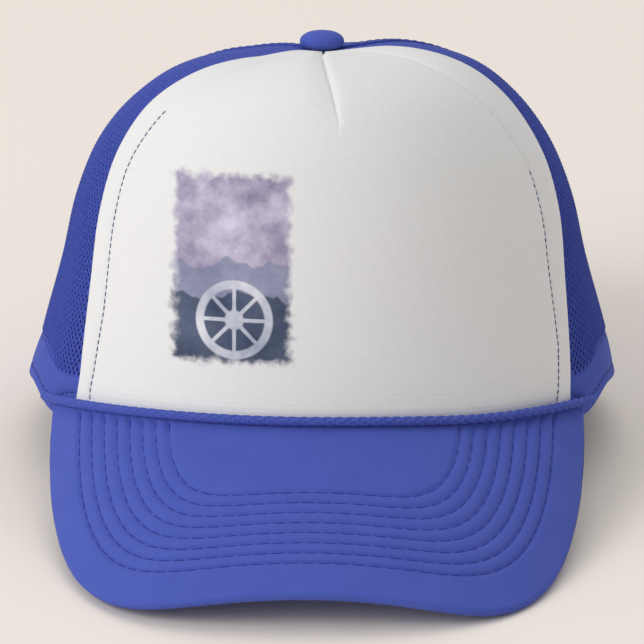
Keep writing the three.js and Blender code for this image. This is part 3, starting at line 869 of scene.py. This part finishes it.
def placeVisor(across, wrap):
    # the sheet runs over the top to the edge and back underneath, and closes on itself all round
    azimuth, first, last = visorEdgeAt(across)
    upper = wrap <= visor["upperShare"]
    share = np.where(upper, wrap / visor["upperShare"], (1 - wrap) / (1 - visor["upperShare"]))
    way = mix(first, last, share - 0.06 * np.sin(2 * np.pi * share))
    x = visorRoot(azimuth)[:, 0]

    # the rim is rounded by how near a place lies to the outline
    edgeAzimuth, _, edgeLast = visorEdgeAt(np.linspace(0, 1, 1201))
    edge = np.stack([visorRoot(edgeAzimuth)[:, 0], edgeLast], -1)
    near = np.array([np.sqrt(((edge - spot) ** 2).sum(-1).min()) for spot in np.stack([x, way], -1)])
    near = np.minimum(np.minimum(near, edge[-1, 0] - np.abs(x)), way - first)
    rounding = 1 - np.sqrt(1 - (1 - np.clip(near / visor["edgeRound"], 0, 1)) ** 2)
    depth = mix(np.where(upper, quiltHeight(x, way), -visor["wall"]), -visor["wall"] / 2, rounding)
    points = visorOn(azimuth, way) + visorNormal(azimuth) * depth[:, None]

    azimuths = np.linspace(-61, 61, 200)
    run = lengthAlong(visorRoot(azimuths))
    cloth = np.stack([x + 0.25 * (np.interp(azimuth, azimuths, run) - run[-1] / 2), way], -1)
    return points, cloth


bm, _ = bentGrid(visor["columns"], visor["rows"], placeVisor)
closeSeams(bm)
bmesh.ops.dissolve_degenerate(bm, edges=bm.edges, dist=0.000005)
for vert in bm.verts:
    vert.co.z = max(vert.co.z, visor["floorGap"] / 1000)  # the corners press flat where they rest
finishPiece(bm, "quilted_visor", visorTwill, ["visor"])

quilting = []
for row in range(visor["rowCount"]):
    swing = np.linspace(-1, 1, 700)
    x = rowFrame(row)[0] * np.sign(swing) * (1 - (1 - np.abs(swing)) ** 2.2) * 0.9999
    way = np.maximum(quiltRow(x, row), rootWay(x) + 1.5)
    normal = visorNormal(visorAcross(x))
    height = quiltHeight(x, way)[:, None] + visorThread["proud"]
    quilting.append((visorOn(visorAcross(x), way) + normal * height, normal))
sewStitches("visor_quilting", quilting, visorThread, shadedQuiltThread)
print("visor quilted")


# Braid along the visor's root: four strands that cross each other

cord = {
    "radius": 1.45, "crossing": 3.5, "slant": 1.6, "relief": 0.6, "crest": 0.45, "overhang": 2.1, "endRound": 1.6,
    "sides": 36, "rings": 1000,
}
cordEnd = crown["visorEnd"] + cord["overhang"]
cordAzimuth = np.linspace(-cordEnd, cordEnd, 1200)
cordPath = crownSkin(cordAzimuth, 0, crown["foamProud"] + crown["gap"] + cord["radius"])
cordPath[:, 2] = braidLine(cordAzimuth)
cordRun = lengthAlong(cordPath)


def placeCord(around, along):
    s = along * cordRun[-1]
    centre = np.stack([np.interp(s, cordRun, cordPath[:, k]) for k in range(3)], -1)
    onward = np.stack([np.interp(s, cordRun, np.gradient(cordPath[:, k], cordRun)) for k in range(3)], -1)
    onward = unit(onward)
    side = unit(np.cross(onward, [0, 0, 1]))
    over = np.cross(side, onward)
    turn = around * 2 * np.pi
    facing = (turn + np.pi) % (2 * np.pi) - np.pi
    strand = np.pi * s / cord["crossing"] - cord["slant"] * np.abs(facing) + np.where(facing > 0, 0, np.pi / 2)
    relief = cord["relief"] * (np.abs(np.cos(strand)) ** cord["crest"] - 1)
    ends = np.clip(np.minimum(s, cordRun[-1] - s) / cord["endRound"], 0, 1)
    radius = (cord["radius"] + relief) * np.sqrt(1 - (1 - ends) ** 2)
    ring = side * np.cos(turn)[:, None] + over * np.sin(turn)[:, None]
    return centre + ring * radius[:, None], np.stack([turn * cord["radius"], s], -1)


bm, _ = bentGrid(cord["sides"], cord["rings"], placeCord)
closeSeams(bm)
finishPiece(bm, "braided_cord", cordBraid, ["braid"])
print("braid laid")


# Sweatband, strap and button

band = {"height": 28.0, "wall": 1.4, "edge": 0.5, "seat": -2.85, "puff": 0.5, "stitchIn": 2.5}
bandThread = {"pitch": 3.6, "length": 2.6, "width": 0.42, "height": 0.34, "lift": 0.05}
strapSize = {
    "height": 19.0, "wall": 1.8, "edge": 0.5, "half": 46.0, "seat": -1.9, "footGap": 0.12,
    "studs": 7, "studPitch": 9.0, "studRadius": 2.6, "studHeight": 1.1,
}
bandEnd = 180 - math.degrees((strapSize["half"] + 0.6) / crown["halfDepth"])


def placeBand(across, upward):
    azimuth = mix(bandEnd, -bandEnd, across)
    climb = climbAt(azimuth, rimFoot(azimuth) + upward * band["height"])
    puff = band["puff"] * np.sin(np.pi * upward) ** 0.7
    return crownSkin(azimuth, climb, band["seat"] - puff), crownCloth(azimuth, climb)


bm, _ = bentGrid(220, 14, placeBand)
bandPiece = finishPiece(bm, "sweatband_cloth", sweatCotton, ["sweatband"])
thicken(bandPiece, band["wall"], band["edge"])
bandRows = []
for tall in (band["stitchIn"], band["height"] - band["stitchIn"]):
    azimuth = np.linspace(bandEnd - 2, 2 - bandEnd, 700)
    climb = climbAt(azimuth, rimFoot(azimuth) + tall)
    puff = band["puff"] * math.sin(math.pi * tall / band["height"]) ** 0.7
    bandRows.append((crownSkin(azimuth, climb, band["seat"] - puff - 0.05), -outwardAt(azimuth, climb)))
sewStitches("sweatband_stitches", bandRows, bandThread, blueThread)


def placeStrap(across, upward):
    distance = mix(strapSize["half"], -strapSize["half"], across)
    azimuth = 180 - np.degrees(distance / crown["halfDepth"])
    tall = upward * strapSize["height"]
    points = crownSkin(azimuth, climbAt(azimuth, tall), strapSize["seat"])
    # the strap's foot lies level on the floor, though the cap leans
    foot = crownSkin(180, 0.0, strapSize["seat"])
    floorLine = foot[2] - (foot[1] - points[:, 1]) * math.tan(capTilt)
    points[:, 2] = np.where(upward < 0.02, floorLine + strapSize["footGap"], points[:, 2])
    return points, np.stack([distance, tall], -1)


bm, _ = bentGrid(60, 12, placeStrap)
strap = finishPiece(bm, "snap_strap", satinPlastic, ["back_strap"])
thicken(strap, strapSize["wall"], strapSize["edge"], 3)

studs = bmesh.new()
studSize = Matrix.Diagonal((strapSize["studRadius"], strapSize["studRadius"], strapSize["studHeight"], 1000)) * 0.001
for i in range(strapSize["studs"]):
    distance = (i - (strapSize["studs"] - 1) / 2) * strapSize["studPitch"]
    azimuth = 180 - math.degrees(distance / crown["halfDepth"])
    climb = float(climbAt(azimuth, strapSize["height"] / 2))
    seat = crownSkin(azimuth, climb, strapSize["seat"])
    out = Vector(toFrame(seat + outwardAt(azimuth, climb)) - toFrame(seat)).normalized()
    turn = out.to_track_quat("Z", "Y").to_matrix().to_4x4()
    turn.translation = Vector(toFrame(seat))
    bmesh.ops.create_uvsphere(studs, u_segments=20, v_segments=10, radius=1, matrix=turn @ studSize)
laySmallParts(studs)
finishPiece(studs, "strap_studs", satinPlastic)

# The button is a ball with a low widest girth, gathered in small pleats underneath
button = {
    "radius": 7.2, "height": 6.7, "base": 102.9, "widest": 0.45, "fullness": 0.85, "pleats": 8, "pleatDepth": 0.12,
}
knob = bmesh.new()
bmesh.ops.create_uvsphere(knob, u_segments=64, v_segments=32, radius=1)
ball = np.array([vert.co[:] for vert in knob.verts])
around = np.arctan2(ball[:, 1], ball[:, 0])
gathered = smoothStep(-ball[:, 2], -0.6, 0.4) * (0.5 + 0.5 * np.cos(button["pleats"] * around))
flat = np.hypot(ball[:, 0], ball[:, 1])
fuller = np.where(flat > 0, flat ** button["fullness"] / np.maximum(flat, 1e-6), 0)
spread = (button["radius"] - button["pleatDepth"] * gathered) * fuller
tall = button["widest"] + ball[:, 2] * np.where(ball[:, 2] > 0, 1 - button["widest"], button["widest"])
domed = np.stack([ball[:, 0] * spread, ball[:, 1] * spread, button["base"] + button["height"] * tall], -1)
moveVerts(knob, domed)
layCloth(knob, domed[:, :2] / 1000)
finishPiece(knob, "covered_button", visorTwill, ["button"])
print("band, strap and button fitted")


# Floor, light and camera

# Matt paper under the cap: pale and warm, without any gleam
floor = bmesh.new()
bmesh.ops.create_grid(floor, x_segments=1, y_segments=1, size=3.0)
floorMesh = bpy.data.meshes.new("floor")
floor.to_mesh(floorMesh)
floor.free()
floorPiece = bpy.data.objects.new("floor", floorMesh)
scene.collection.objects.link(floorPiece)
paper = bpy.data.materials.new("matt paper backdrop")
paper.use_nodes = True
paperTree = paper.node_tree
paperShader = paperTree.nodes["Principled BSDF"]
paperShader.inputs["Base Color"].default_value = linear("#f6eee6")
paperShader.inputs["Roughness"].default_value = 0.95
paperShader.inputs["Specular IOR Level"].default_value = 0.1
floorMesh.materials.append(paper)

world = bpy.data.worlds.new("studio")
scene.world = world
world.use_nodes = True
sky = world.node_tree.nodes["Background"]
sky.inputs["Color"].default_value = linear("#fbfaf8")
sky.inputs["Strength"].default_value = 0.5

studio = {
    "key": {"place": (-1.9, -1.2, 1.35), "power": 34.0, "size": 1.7},
    "overhead": {"place": (0.3, 1.2, 2.8), "power": 28.0, "size": 3.0},
}
for name, light in studio.items():
    lamp = bpy.data.lights.new(name, "AREA")
    lamp.energy = light["power"]
    lamp.size = light["size"]
    lampPiece = bpy.data.objects.new(name, lamp)
    scene.collection.objects.link(lampPiece)
    lampPiece.location = light["place"]
    lampPiece.rotation_euler = (Vector((0, 0, 0.05)) - Vector(light["place"])).to_track_quat("-Z", "Y").to_euler()

view = {
    "elevation": 9.055, "azimuth": 1.5, "distance": 1250.0, "target": (0.0, 0.0, 14.93), "pixelSize": 0.324,
    "frame": 644, "sensor": 36.0,
}
rise, swing = math.radians(view["elevation"]), math.radians(view["azimuth"])
backward = np.array([math.sin(swing) * math.cos(rise), -math.cos(swing) * math.cos(rise), math.sin(rise)])
rightward = np.array([math.cos(swing), math.sin(swing), 0.0])
upright = np.cross(backward, rightward)
origin = toFrame(np.zeros(3))
axes = [(toFrame(way) - origin) * 1000 for way in (rightward, upright, backward)]
cameraData = bpy.data.cameras.new("camera")
cameraData.sensor_width = view["sensor"]
cameraData.lens = view["sensor"] * view["distance"] / view["pixelSize"] / view["frame"]
cameraData.clip_start = 0.05
cameraPiece = bpy.data.objects.new("camera", cameraData)
scene.collection.objects.link(cameraPiece)
turn = Matrix([list(v) for v in axes]).transposed().to_4x4()
turn.translation = Vector(toFrame(np.array(view["target"]) + backward * view["distance"]))
cameraPiece.matrix_world = turn
scene.camera = cameraPiece
print("studio set")
